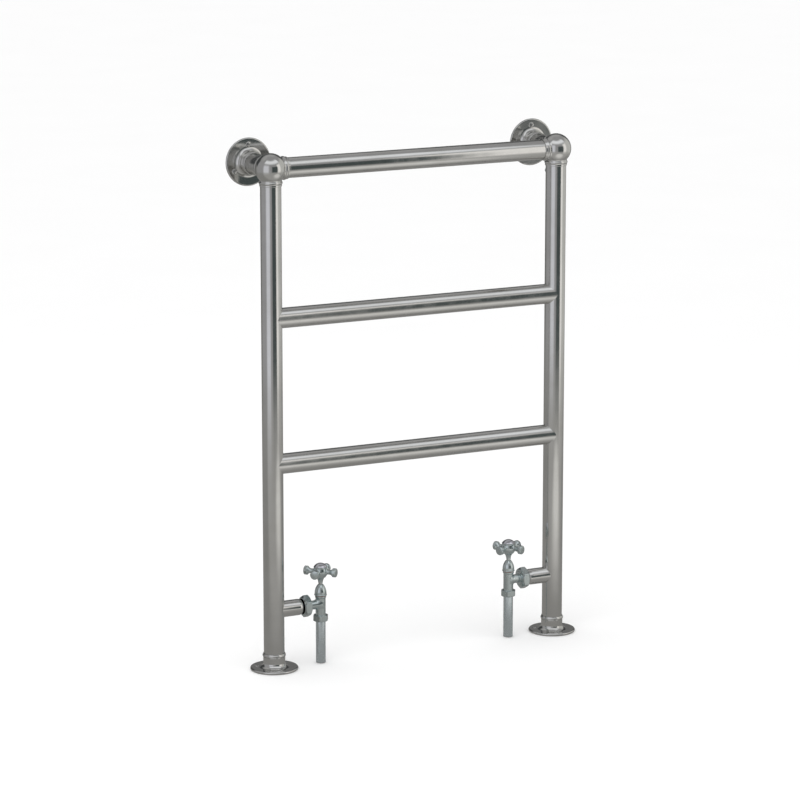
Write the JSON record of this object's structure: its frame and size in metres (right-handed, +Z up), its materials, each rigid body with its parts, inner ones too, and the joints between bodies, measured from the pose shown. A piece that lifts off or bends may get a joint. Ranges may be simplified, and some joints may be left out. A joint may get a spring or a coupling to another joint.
{
  "type": "towel radiator with crosshead valves",
  "caption": "Floor-standing ball-jointed towel radiator with round wall and floor flanges and angled crosshead valves on vertical pipe tails",
  "frame": {"origin": "centre of the whole object's footprint box, at finished floor level", "axes": "+X along the rails to the right as seen from the front, +Y back to the wall, +Z up"},
  "size_m": [0.666, 0.174, 0.966],
  "materials": {
    "nickel_tube": "polished nickel plate on brass tube",
    "nickel_casting": "polished nickel plate on cast brass",
    "valve_chrome": "satin-bright chrome plate on forged brass",
    "handle_chrome": "satin-bright chrome plate on cast brass",
    "cap_chrome": "bright chrome plate",
    "spindle_chrome": "bright turned and plated",
    "sleeve_chrome": "satin-bright chrome plate on brass sleeve",
    "turned_brass": "as turned",
    "copper_pipe": "drawn copper",
    "screw_steel": "plated, slotted heads",
    "fibre_seal": "red fibre",
    "gland_packing": "graphited packing",
    "black_rubber": "moulded rubber"
  },
  "bodies": {
    "radiator": {"left_post": "nickel_tube", "right_post": "nickel_tube", "top_rail": "nickel_tube", "middle_rail": "nickel_tube", "lower_rail": "nickel_tube", "left_corner_ball": "nickel_casting", "right_corner_ball": "nickel_casting", "left_wall_stay": "nickel_tube", "right_wall_stay": "nickel_tube", "left_wall_flange": "nickel_casting", "right_wall_flange": "nickel_casting", "left_floor_flange": "nickel_casting", "right_floor_flange": "nickel_casting", "wall_screws": "screw_steel", "floor_screws": "screw_steel", "post_plugs": "turned_brass", "left_spigot": "nickel_casting", "right_spigot": "nickel_casting", "bleed_boss": "nickel_casting", "bleed_bush": "valve_chrome", "left_tailpiece": "turned_brass", "left_union_nut": "valve_chrome", "left_union_seal": "fibre_seal", "left_valve_body": "valve_chrome", "left_headgear": "turned_brass", "left_headgear_seal": "fibre_seal", "left_gland_packing": "gland_packing", "left_gland_nut": "turned_brass", "left_bell_cover": "valve_chrome", "left_compression_nut": "valve_chrome", "left_olive": "turned_brass", "left_feed_pipe": "copper_pipe", "left_pipe_sleeve": "sleeve_chrome", "right_tailpiece": "turned_brass", "right_union_nut": "valve_chrome", "right_union_seal": "fibre_seal", "right_valve_body": "valve_chrome", "right_headgear": "turned_brass", "right_headgear_seal": "fibre_seal", "right_gland_packing": "gland_packing", "right_gland_nut": "turned_brass", "right_bell_cover": "valve_chrome", "right_compression_nut": "valve_chrome", "right_olive": "turned_brass", "right_feed_pipe": "copper_pipe", "right_pipe_sleeve": "sleeve_chrome"},
    "left_jumper": {"left_jumper": "turned_brass", "left_washer": "black_rubber"},
    "left_crosshead": {"left_spindle": "spindle_chrome", "left_handle": "handle_chrome", "left_handle_screw": "screw_steel", "left_handle_cap": "cap_chrome"},
    "right_jumper": {"right_jumper": "turned_brass", "right_washer": "black_rubber"},
    "right_crosshead": {"right_spindle": "spindle_chrome", "right_handle": "handle_chrome", "right_handle_screw": "screw_steel", "right_handle_cap": "cap_chrome"},
    "bleed_screw": {"bleed_screw": "turned_brass"}
  },
  "joints": [
    {"name": "left_jumper_lift", "type": "slide", "parent": "radiator", "child": "left_jumper", "axis": [0, 0, 1], "range_m": [0, 0.0047]},
    {"name": "left_handle_turn", "type": "hinge", "parent": "left_jumper", "child": "left_crosshead", "pos_m": [-0.195, -0.043, 0.111], "axis": [0, 0, 1], "range_deg": [0, 1125]},
    {"name": "right_jumper_lift", "type": "slide", "parent": "radiator", "child": "right_jumper", "axis": [0, 0, 1], "range_m": [0, 0.0047]},
    {"name": "right_handle_turn", "type": "hinge", "parent": "right_jumper", "child": "right_crosshead", "pos_m": [0.195, -0.043, 0.111], "axis": [0, 0, 1], "range_deg": [0, 1125]},
    {"name": "bleed_turn", "type": "hinge", "parent": "radiator", "child": "bleed_screw", "pos_m": [0.289, -0.018, 0.878], "axis": [0, 1, 0], "range_deg": [0, 225]}
  ],
  "couplings": [
    {"joint": "left_jumper_lift", "follows": "left_handle_turn", "m_per_rad": 0.00023873},
    {"joint": "right_jumper_lift", "follows": "right_handle_turn", "m_per_rad": 0.00023873}
  ]
}
